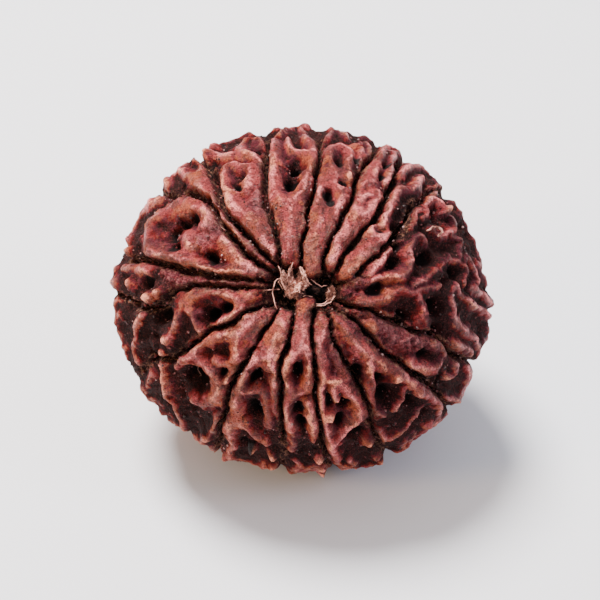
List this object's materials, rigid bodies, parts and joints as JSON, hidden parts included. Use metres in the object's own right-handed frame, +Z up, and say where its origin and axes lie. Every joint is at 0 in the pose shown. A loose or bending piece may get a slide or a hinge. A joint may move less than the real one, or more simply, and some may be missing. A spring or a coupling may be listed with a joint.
{
  "type": "rudraksha seed",
  "caption": "Large many-faced rudraksha seed lying on its side, with a net of raised ridges, deep pits and a hollow with dried fibres at its stalk end.",
  "frame": {"origin": "middle of the bounding box, on the surface that the seed lies on", "axes": "+Z up, +X across the widest way of the seed, the stalk end looks to -Y and up"},
  "size_m": [0.0305, 0.0262, 0.0259],
  "materials": {
    "seed_shell": "satin, red-brown, darker in the pits",
    "dry_fibre": "dry, pale, matted"
  },
  "bodies": {
    "root": {"seed": "seed_shell", "stalk_fibres": "dry_fibre"}
  },
  "joints": []
}
